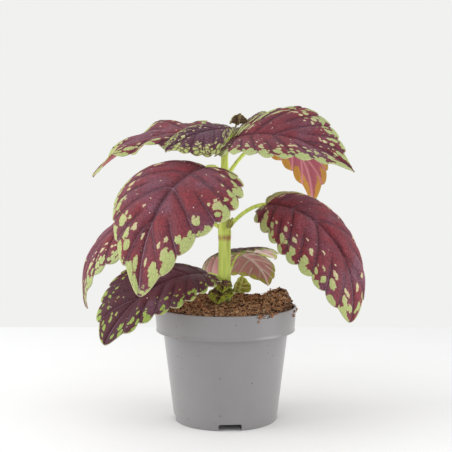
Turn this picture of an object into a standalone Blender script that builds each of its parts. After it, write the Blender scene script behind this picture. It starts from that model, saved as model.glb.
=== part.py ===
"""Potted coleus: a nursery pot filled with peat, one square stem and its crenate leaves.

The pot stands on Z = 0 with its axis on Z, and the photograph looks along +Y.
Driving dimensions are in millimetres and degrees. Meshes are made in metres.
"""
import math
from dataclasses import dataclass

import bmesh
import bpy
import numpy as np

MM = 0.001
GAP = 0.3                    # clearance between touching solids

# Pot, a thin thermoformed one
RIM_RADIUS = 60.0
RIM_HEIGHT = 96.3
BAND_LOW_RADIUS = 58.6       # the band under the rim, at its lower edge
BAND_LOW_HEIGHT = 76.0
NECK_RADIUS = 52.9           # the wall where the band steps out of it
BASE_RADIUS = 43.7
WALL = 1.2
POT_SEGMENTS = 56
CHANNEL_WIDTH = 19.0         # raised drain channels under the base
CHANNEL_HEIGHT = 5.3
CHANNEL_CORNER = 2.0
CHANNEL_START = 18.0         # how far from the axis a channel begins
CHANNEL_TURN = -85.0         # direction of the first channel
CHANNEL_COUNT = 4
DRAIN_RADIUS = 4.0
DRAIN_DISTANCE = 30.0

# Soil
SOIL_EDGE = 94.8             # height where it meets the pot in front
SOIL_MOUND = 5.2             # rise round the stem
SOIL_BACK = 3.5              # rise towards the back
HEAP = (47.0, 17.0)          # the loose heap against the rim, right and behind
HEAP_HEIGHT = 11.0
HEAP_RADIUS = 15.0
SOIL_RINGS = 9
SOIL_SEGMENTS = 44
HOLE_FLOOR = 72.0            # the stem stands in a plain hole this high above the ground
HOLE_RADIUS = 5.9

STEM_FOOT = HOLE_FLOOR + GAP

# Stem: height, offset from the axis and radius. It swells at each pair of leaves.
STEM = (
    (STEM_FOOT, -0.6, 0.0, 5.2),
    (92.0, -0.6, 0.0, 5.2),
    (108.0, -0.9, 0.0, 5.2),
    (114.0, -1.0, 0.0, 5.7),
    (121.0, -1.0, 0.0, 5.0),
    (150.0, -0.8, 0.0, 4.8),
    (159.0, -0.8, 0.0, 5.6),
    (166.0, -0.8, 0.0, 4.6),
    (196.0, -0.6, 0.0, 4.0),
    (203.0, -0.5, 0.0, 4.8),
    (210.0, -0.7, 0.0, 3.5),
    (222.0, -0.9, 0.0, 3.2),
    (228.0, -0.6, 0.8, 4.0),
    (234.0, 1.2, 3.4, 2.8),
    (240.0, 4.4, 7.0, 2.2),
    (244.0, 7.0, 9.0, 2.2),
    (247.0, 8.4, 9.8, 1.4),
)
STEM_SIDES = 12
STALK_RADIUS = 1.7
SMALL_STALK_RADIUS = 0.9
STALK_CLEARANCE = 0.7        # from a stalk's end to the middle of its blade's edge
STALK_SIDES = 8
STALK_RINGS = 7

# Leaf blades
BLADE_THICKNESS = 0.8
PINCH_START = 0.42           # where along the midrib a blade begins to draw in to its tip
LOBE_REACH = 0.9             # how far round the margin the base lobes are felt, in radians
LOBE_START = 0.02            # and where they begin to reach back
VEIN_LEAN = 1.6              # above 1 the veins start nearer the stalk than they end
CRENATE_END = 0.87           # where along the margin the last tooth ends
TOOTH_SPREAD = 0.92          # below 1 the teeth lengthen towards the tip
TOOTH_LEAN = 1.15            # above 1 their crests lean towards the tip
TOOTH_ROUNDNESS = 0.55
TOOTH_MIDDLE = 0.55          # share of a tooth's height that lies inside the smooth margin
CLEFT_LIMIT = 0.14           # no cleft is deeper than this share of the half's width there
CLEFT_START = 0.3            # and before this share of the margin the limit grows from 0
WAVE_SHIFT_RIGHT = 1.3       # of the right half's waves against the left half's, in radians
MIDRIB_STEPS = 80
POINTS_PER_TOOTH = 4
COLUMNS = (0.0, 0.14, 0.45, 0.76)    # inner points from the midrib to the margin
MIDRIB_SEAM = 0.001          # points of the two halves this near on the midrib are one


@dataclass
class Leaf:
    """One leaf. Pairs of values are for its left and right half, seen from stalk to tip."""

    root: tuple              # where its stalk leaves the stem
    base: tuple              # where the blade starts
    tip: tuple
    bend: float              # turn of the midrib from base to tip
    width: float
    bend_power: float = 1.0  # below 1 it turns early, above 1 late
    roll: float = 0.0        # lift of the left half at the base
    twist: float = 0.0       # more of it towards the tip
    curl: tuple = (30.0, 30.0)
    curl_tip: tuple = ()     # droop of the halves near the tip, where it differs
    full: tuple = (0.34, 0.34)
    wide: tuple = (1.0, 1.0)
    peak: tuple = (1.0, 1.0)     # above 1 it is widest in the middle only
    lobe: tuple = (0.09, 0.09)
    pinch: float = 0.42
    fold: float = 8.0
    teeth: int = 9
    tooth: float = 5.0
    wave: float = 0.0
    waves: float = 3.0
    wave_shift: float = 0.0
    stalk: float = STALK_RADIUS


NODE_1 = (-1.0, 0.0, 114.0)
NODE_2 = (-0.8, 0.0, 159.0)
NODE_3 = (-0.5, 0.0, 203.0)
NODE_4 = (-0.6, 0.5, 227.0)
NODE_5 = (7.0, 9.0, 243.5)

LEAVES = {
    "leaf_1_front": Leaf(
        NODE_1, (-14, -16, 125), (-94.6, -70, 76), bend=70, width=86, roll=-8, twist=-20,
        curl=(28, 15), fold=6, full=(0.18, 0.18), wide=(0.76, 1.0)),
    "leaf_1_back": Leaf(
        NODE_1, (-2, 18, 138), (46, 68, 130), bend=42, width=72, roll=-5,
        curl=(62, 25), full=(0.5, 0.1), wide=(1.5, 0.6)),
    "leaf_2_right": Leaf(
        NODE_2, (33, -14, 183), (99.5, -55, 90.7), bend=105, width=96, roll=28, twist=-15,
        curl=(45, 40), curl_tip=(110, 70), full=(0.12, -0.04), wide=(1.03, 0.92),
        peak=(1.3, 1.0), pinch=0.35),
    "leaf_2_left": Leaf(
        NODE_2, (-36, 15, 171), (-120.8, 15, 91.3), bend=118, width=99, roll=-16,
        curl=(50, 60), full=(0.3, 0.34)),
    "leaf_3_front": Leaf(
        NODE_3, (-15, -32, 214), (-64.3, -100, 117.8), bend=85, width=115, roll=-10,
        curl=(40, 32), curl_tip=(20, 62), full=(0.2, 0.6), wide=(0.95, 1.05)),
    "leaf_3_back": Leaf(
        NODE_3, (27, 28, 235), (82, 92, 181.5), bend=115, width=82, curl=(50, 40),
        wide=(0.85, 1.0)),
    "leaf_4_right": Leaf(
        NODE_4, (3.5, -12, 236), (103.6, -42, 211), bend=68, bend_power=0.55, width=84,
        roll=29, twist=-4, curl=(4, 8), curl_tip=(4, 30), full=(0.0, 0.24), wide=(1.14, 0.9),
        peak=(2.5, 1.0), lobe=(0.0, 0.28), pinch=0.52, fold=10),
    "leaf_4_left": Leaf(
        NODE_4, (-13, 12, 240), (-114, 10, 206.3), bend=62, width=80, roll=-19, twist=16,
        curl=(30, 8), wave=3.6, waves=3.6, wave_shift=2.4, full=(0.14, 0.14), wide=(0.8, 1.0)),
    "leaf_5_front": Leaf(
        NODE_5, (6, -6, 245.5), (-49, -32, 227), bend=36, width=56, roll=-14, twist=-8,
        curl=(25, 20), curl_tip=(50, 30), teeth=8, tooth=3.0, full=(-0.35, 0.34),
        wide=(1.25, 0.75), peak=(2.0, 1.0), lobe=(0.0, 0.03), pinch=0.3),
    "leaf_5_back": Leaf(
        NODE_5, (16, 25, 250), (36, 50, 259), bend=50, width=26, roll=-25, teeth=6, tooth=2.0,
        stalk=SMALL_STALK_RADIUS),
    "tip_leaf_left": Leaf(
        NODE_5, (9.6, 7.5, 250.4), (11.8, 2.5, 259), bend=-60, width=13, curl=(100, 100),
        fold=40, teeth=5, tooth=1.0, stalk=SMALL_STALK_RADIUS),
    "tip_leaf_right": Leaf(
        NODE_5, (17.5, 11, 249), (26.5, 10, 253.5), bend=95, width=10, curl=(70, 70),
        fold=20, teeth=5, tooth=1.0, stalk=SMALL_STALK_RADIUS),
    "side_leaf_back": Leaf(
        NODE_1, (14, 12, 139), (38, 34, 109.5), bend=50, width=42, roll=-15, teeth=7,
        tooth=2.2, curl=(40, 40), wide=(1.3, 1.0), stalk=SMALL_STALK_RADIUS),
    "side_leaf_right": Leaf(
        NODE_1, (8.5, -4, 109), (13.5, -9, 123), bend=-50, width=17, curl=(60, 60), teeth=5,
        tooth=1.2, stalk=SMALL_STALK_RADIUS),
    "side_leaf_front": Leaf(
        NODE_1, (-1.5, -9, 119), (-3, -21, 110), bend=60, width=16, curl=(60, 60), teeth=5,
        tooth=1.2, stalk=SMALL_STALK_RADIUS),
    "side_leaf_low": Leaf(
        NODE_1, (-3, -9, 112.5), (-7, -16, 101.5), bend=40, width=20, curl=(40, 40), teeth=5,
        tooth=1.4, stalk=SMALL_STALK_RADIUS),
    "axil_leaf": Leaf(
        NODE_2, (2.6, -6.4, 163), (6, -9.5, 172), bend=40, width=6, curl=(60, 60), teeth=4,
        tooth=0.5, stalk=SMALL_STALK_RADIUS),
}

COLOURS = {
    "pot": (0.30, 0.30, 0.31),
    "soil": (0.10, 0.045, 0.02),
    "stem": (0.38, 0.50, 0.08),
    "leaf": (0.20, 0.03, 0.05),
}
ROUGHNESS = {"pot": 0.45, "soil": 1.0, "stem": 0.5, "leaf": 0.5}


def make_material(name, kind):
    """A plain Principled material in the colour of its kind."""
    material = bpy.data.materials.new(name)
    material.use_nodes = True
    shader = material.node_tree.nodes["Principled BSDF"]
    shader.inputs["Base Color"].default_value = (*COLOURS[kind], 1.0)
    shader.inputs["Roughness"].default_value = ROUGHNESS[kind]
    shader.inputs["Metallic"].default_value = 0.0
    return material


def add_object(name, bm, kind=None):
    """Turn a bmesh in millimetres into an object in metres, smooth but for its sharp edges."""
    bmesh.ops.recalc_face_normals(bm, faces=bm.faces)
    bmesh.ops.scale(bm, vec=(MM, MM, MM), verts=bm.verts)
    mesh = bpy.data.meshes.new(name)
    bm.to_mesh(mesh)
    bm.free()
    mesh.shade_smooth()
    mesh.set_sharp_from_angle(angle=math.radians(35))
    obj = bpy.data.objects.new(name, mesh)
    bpy.context.scene.collection.objects.link(obj)
    if kind:
        mesh.materials.append(make_material(name, kind))
    return obj


def hide_cutter(obj):
    """Keep an object as a Boolean's operand only."""
    obj.display_type = "WIRE"
    obj.hide_render = True
    return obj


def subtract(obj, cutter):
    modifier = obj.modifiers.new("Cut " + cutter.name, "BOOLEAN")
    modifier.operation = "DIFFERENCE"
    modifier.solver = "EXACT"
    modifier.object = cutter


def skin_rings(rings):
    """A closed bmesh over a list of rings of points, from one end to the other."""
    bm = bmesh.new()
    loops = [[bm.verts.new(point) for point in ring] for ring in rings]
    for low, high in zip(loops, loops[1:]):
        for i in range(len(low)):
            j = (i + 1) % len(low)
            bm.faces.new((low[i], low[j], high[j], high[i]))
    bm.faces.new(loops[0][::-1])
    bm.faces.new(loops[-1])
    return bm


def turned(profile, segments):
    """A solid of revolution about Z over a profile of (radius, height)."""
    rings = []
    for radius, height in profile:
        angles = [2 * math.pi * i / segments for i in range(segments)]
        rings.append([(radius * math.cos(a), radius * math.sin(a), height) for a in angles])
    return skin_rings(rings)


def wall_radius(height):
    """Outer radius of the pot's lower wall."""
    return BASE_RADIUS + (NECK_RADIUS - BASE_RADIUS) * height / BAND_LOW_HEIGHT


def inner_profile(clear, low, top):
    """The pot's inner surface from its floor to a height, kept clear of it by a distance."""
    step = BAND_LOW_HEIGHT + WALL + clear
    inset = WALL + clear
    band_slope = (RIM_RADIUS - BAND_LOW_RADIUS) / (RIM_HEIGHT - BAND_LOW_HEIGHT)
    band_low = BAND_LOW_RADIUS - inset
    return [
        (wall_radius(0) - inset - 1.5, low),
        (wall_radius(2) - inset, low + 1.5),
        (NECK_RADIUS - inset, step - 1.2),
        (NECK_RADIUS - inset + 0.5, step),
        (band_low - 0.8, step),
        (band_low, step + 1.0),
        (band_low + band_slope * (top - step), top),
    ]


def channel(clear, z_low, z_high, start, end):
    """A round-topped bar along +X, the room that one drain channel takes."""
    half = CHANNEL_WIDTH / 2 + clear
    corner = CHANNEL_CORNER
    bevel = 0.3 * corner
    section = [(-half, z_low), (half, z_low), (half, z_high - corner)]
    section += [(half - bevel, z_high - bevel), (half - corner, z_high)]
    section += [(-half + corner, z_high), (-half + bevel, z_high - bevel)]
    section += [(-half, z_high - corner)]
    return skin_rings([[(x, y, z) for y, z in section] for x in (start, end)])


def channel_cutters(name, clear, z_low, z_high, start, end):
    """One cutter for each drain channel, turned to its place round the base."""
    cutters = []
    for i in range(CHANNEL_COUNT):
        cutter = add_object(f"{name}_{i}", channel(clear, z_low, z_high, start, end))
        cutter.rotation_euler.z = math.radians(CHANNEL_TURN + 360 / CHANNEL_COUNT * i)
        cutters.append(hide_cutter(cutter))
    return cutters


def build_pot():
    outer = [
        (BASE_RADIUS - 1.6, 0.0),
        (BASE_RADIUS - 0.5, 0.5),
        (wall_radius(1.8), 1.8),
        (NECK_RADIUS, BAND_LOW_HEIGHT - 1.2),
        (NECK_RADIUS + 0.5, BAND_LOW_HEIGHT - 0.2),
        (NECK_RADIUS + 1.6, BAND_LOW_HEIGHT),
        (BAND_LOW_RADIUS - 1.0, BAND_LOW_HEIGHT),
        (BAND_LOW_RADIUS - 0.1, BAND_LOW_HEIGHT + 0.8),
        (RIM_RADIUS, RIM_HEIGHT - 0.5),
        (RIM_RADIUS - 0.4, RIM_HEIGHT),
    ]
    pot = add_object("pot", turned(outer, POT_SEGMENTS), "pot")
    cavity = hide_cutter(add_object(
        "pot_cavity", turned(inner_profile(0.0, WALL, RIM_HEIGHT + 1.0), POT_SEGMENTS)))
    far = BASE_RADIUS + 12.0
    for hump in channel_cutters(
            "pot_hump", WALL, -1.0, CHANNEL_HEIGHT + WALL, CHANNEL_START - WALL, far):
        subtract(cavity, hump)
    subtract(pot, cavity)
    for recess in channel_cutters("pot_channel", 0.0, -1.0, CHANNEL_HEIGHT, CHANNEL_START, far):
        subtract(pot, recess)
    for i in range(CHANNEL_COUNT):
        drain = hide_cutter(add_object(
            f"pot_drain_{i}", turned([(DRAIN_RADIUS, 2.0), (DRAIN_RADIUS, 9.0)], 16)))
        angle = math.radians(CHANNEL_TURN + 360 / CHANNEL_COUNT * i)
        drain.location.x = DRAIN_DISTANCE * math.cos(angle) * MM
        drain.location.y = DRAIN_DISTANCE * math.sin(angle) * MM
        subtract(pot, drain)
    return pot


def soil_height(x, y):
    """Height of the rough soil surface, above the rim behind and level with it in front."""
    r = math.hypot(x, y)
    height = SOIL_EDGE + SOIL_MOUND * math.exp(-(r / 34.0) ** 2)
    height += SOIL_BACK * min(max((y + 5.0) / 45.0, 0.0), 1.0)
    spread = math.hypot(x - HEAP[0], y - HEAP[1])
    height += HEAP_HEIGHT * math.exp(-(spread / HEAP_RADIUS) ** 2)
    clods = math.sin(0.31 * x + 0.22 * y + 1.0) * math.sin(0.27 * y - 0.18 * x)
    crumbs = math.sin(0.83 * x + 1.3) * math.sin(0.79 * y + 0.4)
    return height + 0.9 * clods + 0.7 * crumbs


def build_soil():
    profile = inner_profile(GAP, WALL + GAP, RIM_HEIGHT - 4.0)
    edge_radius = profile[-1][0]
    angles = [2 * math.pi * i / SOIL_SEGMENTS for i in range(SOIL_SEGMENTS)]
    rings = [[(r * math.cos(a), r * math.sin(a), z) for a in angles] for r, z in profile]
    for i in range(SOIL_RINGS):
        radius = edge_radius * (1 - i / SOIL_RINGS) + 4.0 * i / SOIL_RINGS
        ring = [(radius * math.cos(a), radius * math.sin(a)) for a in angles]
        rings.append([(x, y, soil_height(x, y)) for x, y in ring])
    soil = add_object("soil", skin_rings(rings), "soil")
    for hump in channel_cutters(
            "soil_hump", WALL + GAP, -1.0, CHANNEL_HEIGHT + WALL + GAP,
            CHANNEL_START - WALL - GAP, BASE_RADIUS + 12.0):
        subtract(soil, hump)
    hole = turned([(HOLE_RADIUS, HOLE_FLOOR), (HOLE_RADIUS, RIM_HEIGHT + 30.0)], STEM_SIDES)
    hole_cutter = hide_cutter(add_object("soil_stem_hole", hole))
    hole_cutter.location.x = STEM[0][1] * MM
    subtract(soil, hole_cutter)
    return soil


def stem_section(height):
    """The stem's squarish section at a height, as a ring of points."""
    x = np.interp(height, [s[0] for s in STEM], [s[1] for s in STEM])
    y = np.interp(height, [s[0] for s in STEM], [s[2] for s in STEM])
    radius = np.interp(height, [s[0] for s in STEM], [s[3] for s in STEM])
    ring = []
    for i in range(STEM_SIDES):
        a = 2 * math.pi * i / STEM_SIDES
        r = radius * (1 + 0.06 * math.cos(4 * a))
        ring.append((x + r * math.cos(a), y + r * math.sin(a), height))
    return ring


def unit(vector):
    return vector / np.linalg.norm(vector)


def midrib_frame(leaf):
    """Points, forward, left and up vectors along the midrib, and its length.

    The midrib turns down by leaf.bend on its way. Its length and first pitch are those that
    bring it from leaf.base to leaf.tip.
    """
    base = np.array(leaf.base, float)
    chord = np.array(leaf.tip, float) - base
    bend = math.radians(leaf.bend)
    turn = -bend * ((np.arange(200) + 0.5) / 200) ** leaf.bend_power
    forward, down = np.cos(turn).mean(), np.sin(turn).mean()
    length = np.linalg.norm(chord) / math.hypot(forward, down)
    pitch = math.asin(chord[2] / np.linalg.norm(chord)) - math.atan2(down, forward)
    heading = math.atan2(chord[1], chord[0])
    points, forwards, lefts, ups = [base], [], [], []
    left = np.array([-math.sin(heading), math.cos(heading), 0.0])
    for share in np.linspace(0, 1, MIDRIB_STEPS + 1):
        p = pitch - bend * share ** leaf.bend_power
        ahead = np.array([
            math.cos(p) * math.cos(heading), math.cos(p) * math.sin(heading), math.sin(p)])
        forwards.append(ahead)
        if share > 0:
            step = (forwards[-2] + forwards[-1]) / 2 * length / MIDRIB_STEPS
            points.append(points[-1] + step)
        up = np.cross(ahead, left)
        r = math.radians(leaf.roll + leaf.twist * share)
        lefts.append(left * math.cos(r) + up * math.sin(r))
        ups.append(up * math.cos(r) - left * math.sin(r))
    return np.array(points), np.array(forwards), np.array(lefts), np.array(ups), length


def smooth_margin(leaf, side, length, count=400):
    """The flat margin of one half without its teeth: across and along, from stalk to tip."""
    phi = np.linspace(0, math.pi, count)
    full = leaf.full[side]
    across = np.maximum(np.sin(phi), 0) ** leaf.peak[side] * (1 + full * np.cos(phi))
    across = across / (1 + full * full * 0.5)
    along = (1 - np.cos(phi)) / 2
    lobe = 1.6 * leaf.lobe[side] * phi ** 2 / (phi ** 2 + LOBE_START ** 2)
    along = along - lobe * np.sin(phi) * np.exp(-(phi / LOBE_REACH) ** 2)
    past = np.clip((along - PINCH_START) / (1 - PINCH_START), 0, 1)
    across = across * (1 - leaf.pinch * past)
    across = across * leaf.width / 2 * leaf.wide[side] + leaf.stalk * (1 - phi / math.pi)
    return across, along * length


def margin_fractions(x, y):
    """Each margin point's share of the way along it."""
    way = np.concatenate([[0], np.cumsum(np.hypot(np.diff(x), np.diff(y)))])
    return way / way[-1]


def toothed_margin(leaf, side, length, u):
    """The flat margin at the shares u of its way, with rounded teeth that lean to the tip."""
    x, y = smooth_margin(leaf, side, length)
    way = margin_fractions(x, y)
    step = 0.004
    before, after = np.clip(u - step, 0, 1), np.clip(u + step, 0, 1)
    tangent_x = np.interp(after, way, x) - np.interp(before, way, x)
    tangent_y = np.interp(after, way, y) - np.interp(before, way, y)
    size = np.hypot(tangent_x, tangent_y)
    phase = leaf.teeth * (u / CRENATE_END) ** TOOTH_SPREAD
    tooth = np.sin(math.pi * (phase % 1.0) ** TOOTH_LEAN) ** TOOTH_ROUNDNESS
    taper = TOOTH_MIDDLE * (1 - (u - CRENATE_END) / (1 - CRENATE_END))
    height = np.where(u < CRENATE_END, tooth - TOOTH_MIDDLE, -taper)
    height = height * np.clip((u - 0.02) / 0.04, 0, 1) * (1 - 0.35 * u) * leaf.tooth
    half_width = np.interp(u, way, x)
    height = np.maximum(height, -CLEFT_LIMIT * half_width * np.minimum(u / CLEFT_START, 1))
    margin_x = half_width + tangent_y / size * height
    margin_y = np.interp(u, way, y) - tangent_x / size * height
    return margin_x, margin_y


def vein_foot(leaf, side, length, u):
    """How far along the midrib the vein starts that ends at share u of the margin."""
    x, y = smooth_margin(leaf, side, length)
    phi = np.interp(u, margin_fractions(x, y), np.linspace(0, 1, len(x)))
    return length * phi ** VEIN_LEAN


def bend_blade(leaf, frame, side, across, along, u, w):
    """Flat points of one half, folded, curled and laid along the midrib."""
    points, forwards, lefts, ups, length = frame
    sign = 1 if side == 0 else -1
    station = np.clip(along / length, 0, 1) * (len(points) - 1)
    low = np.minimum(station.astype(int), len(points) - 2)
    part = (station - low)[..., None]
    middle = points[low] * (1 - part) + points[low + 1] * part
    middle = middle + np.minimum(along, 0)[..., None] * forwards[0]
    left = lefts[low] * (1 - part) + lefts[low + 1] * part
    up = ups[low] * (1 - part) + ups[low + 1] * part
    fold = math.radians(leaf.fold)
    curl_tip = leaf.curl_tip or leaf.curl
    curl = leaf.curl[side] + (curl_tip[side] - leaf.curl[side]) * np.clip(along / length, 0, 1)
    bow = np.radians(curl) / (leaf.width / 2)
    sideways = (math.sin(fold) - np.sin(fold - bow * across)) / bow
    lift = (np.cos(fold - bow * across) - math.cos(fold)) / bow
    shift = leaf.wave_shift + WAVE_SHIFT_RIGHT * side
    ripple = np.sin(2 * math.pi * leaf.waves * u + shift) * w ** 2.5
    lift = lift + leaf.wave * ripple * np.sqrt(np.sin(math.pi * np.clip(u, 0, 1)))
    return middle + left * (sign * sideways)[..., None] + up * lift[..., None]


def half_grid(leaf, frame, side):
    """One half of a blade: inner points at each notch, finer ones on the margin, and the tip.

    Returns one array of flat points, one of the same points in space, and their numbers as
    columns from the midrib out, with the margin last. Both halves use the midrib points of
    the left one. The inner columns start at the first margin point, beside the stalk: the
    lobes reach back from there, and a row of points across the stalk would fold over them.
    """
    length = frame[4]
    near_tip = [(1 + CRENATE_END) / 2]
    notches = (np.arange(leaf.teeth + 1) / leaf.teeth) ** (1 / TOOTH_SPREAD) * CRENATE_END
    stations = np.concatenate([notches, near_tip])
    fine = np.arange(leaf.teeth * POINTS_PER_TOOTH + 1) / (leaf.teeth * POINTS_PER_TOOTH)
    fine = np.concatenate([fine ** (1 / TOOTH_SPREAD) * CRENATE_END, near_tip])
    x, y = smooth_margin(leaf, side, length)
    way = margin_fractions(x, y)
    foot = vein_foot(leaf, side, length, stations)
    flat, space = [], []
    for w in COLUMNS:
        start = foot if w > 0 else vein_foot(leaf, 0, length, stations)
        across = np.interp(stations, way, x) * w
        along = start + (np.interp(stations, way, y) - start) * (0.8 * w + 0.2 * w * w)
        share = np.full_like(stations, w)
        flat.append(np.stack([across, along], axis=1))
        space.append(bend_blade(leaf, frame, side, across, along, stations, share))
    across, along = toothed_margin(leaf, side, length, fine)
    flat += [np.stack([across, along], axis=1), [(0.0, length)]]
    space.append(bend_blade(leaf, frame, side, across, along, fine, np.ones_like(fine)))
    space.append(frame[0][-1:])
    rows = len(stations)
    margin = rows * len(COLUMNS)
    columns = [list(range(rows * k, rows * (k + 1))) for k in range(len(COLUMNS))]
    for column in columns[1:]:
        column[0] = margin
    columns.append(list(range(margin, margin + len(fine))))
    return np.concatenate(flat), np.concatenate(space), columns


def signed_area(flat, corners):
    """Twice the area of a flat triangle, above zero if it isn't turned over."""
    a, b, c = (flat[k] for k in corners)
    return (b[0] - a[0]) * (c[1] - a[1]) - (b[1] - a[1]) * (c[0] - a[0])


def tooth_triangles(flat, low, high, edge):
    """Triangles between two inner points and the margin points between them.

    The margin points up to some turn are joined to the lower point and the rest to the
    higher one. The turn is the one that leaves the smallest triangle as large as it can be,
    so that no triangle folds over its neighbours.
    """
    choices = []
    for turn in range(len(edge)):
        fan = [(low, a, b) for a, b in zip(edge[:turn], edge[1:])]
        fan.append((low, edge[turn], high))
        fan += [(high, a, b) for a, b in zip(edge[turn:], edge[turn + 1:])]
        fan = [corners for corners in fan if len(set(corners)) == 3]
        choices.append((min(signed_area(flat, corners) for corners in fan), fan))
    return max(choices)[1]


def half_triangles(flat, columns):
    """Triangles of one half of a blade, as numbers of its points."""
    tip = len(flat) - 1
    margin = columns[-1]
    last = len(columns[0]) - 1
    triangles = []
    for near, far in zip(columns, columns[1:-1]):
        for i in range(last):
            triangles.append((near[i], far[i], far[i + 1]))
            triangles.append((near[i], far[i + 1], near[i + 1]))
        triangles.append((near[last], far[last], tip))
    rim = columns[-2]
    for i in range(last):
        first = i * POINTS_PER_TOOTH
        end = first + (POINTS_PER_TOOTH if i < last - 1 else 1)
        triangles += tooth_triangles(flat, rim[i], rim[i + 1], margin[first:end + 1])
    triangles.append((rim[last], margin[-1], tip))
    return [corners for corners in triangles if len(set(corners)) == 3]


def blade_surface(leaf, frame):
    """The blade's middle surface in triangles: coarse inside and fine along its teeth."""
    bm = bmesh.new()
    for side in (0, 1):
        flat, space, columns = half_grid(leaf, frame, side)
        triangles = half_triangles(flat, columns)
        used = sorted({k for corners in triangles for k in corners})
        verts = {k: bm.verts.new(space[k]) for k in used}
        for corners in triangles:
            bm.faces.new([verts[k] for k in (corners if side else corners[::-1])])
    bmesh.ops.remove_doubles(bm, verts=bm.verts, dist=MIDRIB_SEAM)
    bmesh.ops.recalc_face_normals(bm, faces=bm.faces)
    return bm


def build_blade(name, leaf):
    blade = add_object(name, blade_surface(leaf, midrib_frame(leaf)), "leaf")
    solidify = blade.modifiers.new("Thickness", "SOLIDIFY")
    solidify.thickness = BLADE_THICKNESS * MM
    solidify.offset = 0.0
    return blade


def stalk_rings(leaf):
    """Rings of a stalk that rises from the stem and runs into the blade's midrib."""
    points, forwards, lefts, ups, _ = midrib_frame(leaf)
    root = np.array(leaf.root, float)
    end = points[0] - forwards[0] * STALK_CLEARANCE
    reach = np.linalg.norm(end - root)
    outward = unit(np.array([forwards[0][0], forwards[0][1], 0.0]))
    start_pull = reach * (0.8 * outward + np.array([0.0, 0.0, 0.9]))
    end_pull = reach * forwards[0]
    rings = []
    for i in range(STALK_RINGS):
        t = i / (STALK_RINGS - 1)
        centre = (2 * t ** 3 - 3 * t ** 2 + 1) * root + (t ** 3 - 2 * t ** 2 + t) * start_pull
        centre = centre + (3 * t ** 2 - 2 * t ** 3) * end + (t ** 3 - t ** 2) * end_pull
        slope = (6 * t * t - 6 * t) * root + (3 * t * t - 4 * t + 1) * start_pull
        slope = slope + (6 * t - 6 * t * t) * end + (3 * t * t - 2 * t) * end_pull
        ahead = unit(slope)
        side = unit(lefts[0] - ahead * (lefts[0] @ ahead))
        up = np.cross(ahead, side)
        radius = leaf.stalk * (1.25 - 0.25 * min(t * 3, 1))
        angles = [2 * math.pi * (k + 0.5) / STALK_SIDES for k in range(STALK_SIDES)]
        rings.append([
            tuple(centre + (side * math.cos(a) + up * math.sin(a)) * radius) for a in angles])
    return rings


def build_stem():
    """The stem with every leaf stalk grown onto it, as one body."""
    stem = add_object("stem", skin_rings([stem_section(s[0]) for s in STEM]), "stem")
    stalks = bpy.data.collections.new("stalks")
    for name, leaf in LEAVES.items():
        stalk = add_object("stalk_" + name, skin_rings(stalk_rings(leaf)))
        bpy.context.scene.collection.objects.unlink(stalk)
        stalks.objects.link(stalk)
    bpy.context.scene.collection.children.link(stalks)
    union = stem.modifiers.new("Stalks", "BOOLEAN")
    union.operation = "UNION"
    union.solver = "EXACT"
    union.operand_type = "COLLECTION"
    union.collection = stalks
    with bpy.context.temp_override(object=stem, active_object=stem):
        bpy.ops.object.modifier_apply(modifier=union.name)
    for stalk in list(stalks.objects):
        bpy.data.objects.remove(stalk)
    bpy.data.collections.remove(stalks)
    return stem


for old in list(bpy.data.objects):
    bpy.data.objects.remove(old)

plant = bpy.data.objects.new("plant", None)
bpy.context.scene.collection.objects.link(plant)
pieces = [build_pot(), build_soil(), build_stem()]
pieces += [build_blade(name, leaf) for name, leaf in LEAVES.items()]
for piece in pieces:
    piece.parent = plant
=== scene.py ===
# %% [markdown]
# # A potted coleus
# A coleus is a house plant that is grown for its leaves: maroon velvet, edged with lime. This
# lesson dresses a plain solid model of one. The solids give every sub-part its place and
# size, and each step here makes the fine surface of one of them: blades with veins and
# scallops, a downy square stem, a thermoformed pot and loose peat. All lengths in this file are
# written in millimetres and turned into metres where a mesh is made.

# %% Load the solid model
import math
from dataclasses import dataclass

import bpy
import numpy as np
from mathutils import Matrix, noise


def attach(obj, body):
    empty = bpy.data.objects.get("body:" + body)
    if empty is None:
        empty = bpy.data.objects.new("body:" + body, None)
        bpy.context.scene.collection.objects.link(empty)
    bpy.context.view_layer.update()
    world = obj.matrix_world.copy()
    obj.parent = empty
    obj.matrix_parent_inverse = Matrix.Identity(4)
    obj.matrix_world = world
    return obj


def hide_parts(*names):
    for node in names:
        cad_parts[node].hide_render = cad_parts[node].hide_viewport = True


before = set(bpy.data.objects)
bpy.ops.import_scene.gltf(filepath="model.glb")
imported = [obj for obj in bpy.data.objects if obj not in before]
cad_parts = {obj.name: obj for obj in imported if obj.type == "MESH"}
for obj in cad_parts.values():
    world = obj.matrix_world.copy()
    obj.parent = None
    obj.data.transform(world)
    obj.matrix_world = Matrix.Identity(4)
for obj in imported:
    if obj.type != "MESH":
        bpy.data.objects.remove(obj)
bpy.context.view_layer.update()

MM = 0.001
print("solid parts:", ", ".join(sorted(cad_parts)))

# %% [markdown]
# ## Camera
# The photograph looks along +Y from the height of the upper leaves and a little down, level
# enough to show the pot almost from the side. A long lens keeps the rim from bulging.

# %% Camera
CAMERA_PLACE = (0.37, -800.0, 216.5)
CAMERA_AIM = (0.37, 0.0, 164.2)
LENS = 75.5

bpy.ops.object.camera_add(location=[v * MM for v in CAMERA_PLACE])
camera = bpy.context.object
camera.name = "camera"
camera.data.lens = LENS
camera.data.sensor_width = 36.0
camera.data.clip_start = 0.01
dip = math.atan2(CAMERA_PLACE[2] - CAMERA_AIM[2], CAMERA_AIM[1] - CAMERA_PLACE[1])
camera.rotation_euler = (math.pi / 2 - dip, 0.0, 0.0)
bpy.context.scene.camera = camera

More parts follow.
